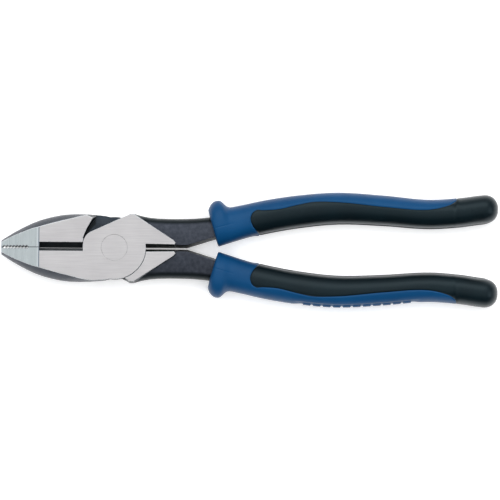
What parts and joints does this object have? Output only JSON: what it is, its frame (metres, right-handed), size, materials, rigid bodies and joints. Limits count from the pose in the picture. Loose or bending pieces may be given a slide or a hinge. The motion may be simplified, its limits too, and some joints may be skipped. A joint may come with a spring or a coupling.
{
  "type": "lineman pliers",
  "caption": "Side-cutting lineman pliers with toothed nose, knife trough, lapped joint and curved blue and black handle grips.",
  "frame": {"origin": "on the rivet's axis, at the rear ground face of the joint", "axes": "+X from the joint towards the grips, along the closed jaw line; +Y towards the upper handle; +Z along the rivet, out of the front ground face"},
  "size_m": [0.2383, 0.0552, 0.0199],
  "materials": {
    "forged_steel": "ground faces, dark forged sides",
    "rivet_steel": "ground flush",
    "blue_grip": "fine pebble texture",
    "black_grip": "fine pebble texture"
  },
  "bodies": {
    "rear_lever": {"rear_half": "forged_steel", "joint_rivet": "rivet_steel", "lower_grip_shell": "blue_grip", "lower_grip_insert": "black_grip"},
    "front_lever": {"front_half": "forged_steel", "upper_grip_shell": "blue_grip", "upper_grip_insert": "black_grip"}
  },
  "joints": [
    {"name": "jaw_opening", "type": "hinge", "parent": "rear_lever", "child": "front_lever", "pos_m": [0, 0, 0.00795], "axis": [0, 0, 1], "range_deg": [0, 28]}
  ]
}
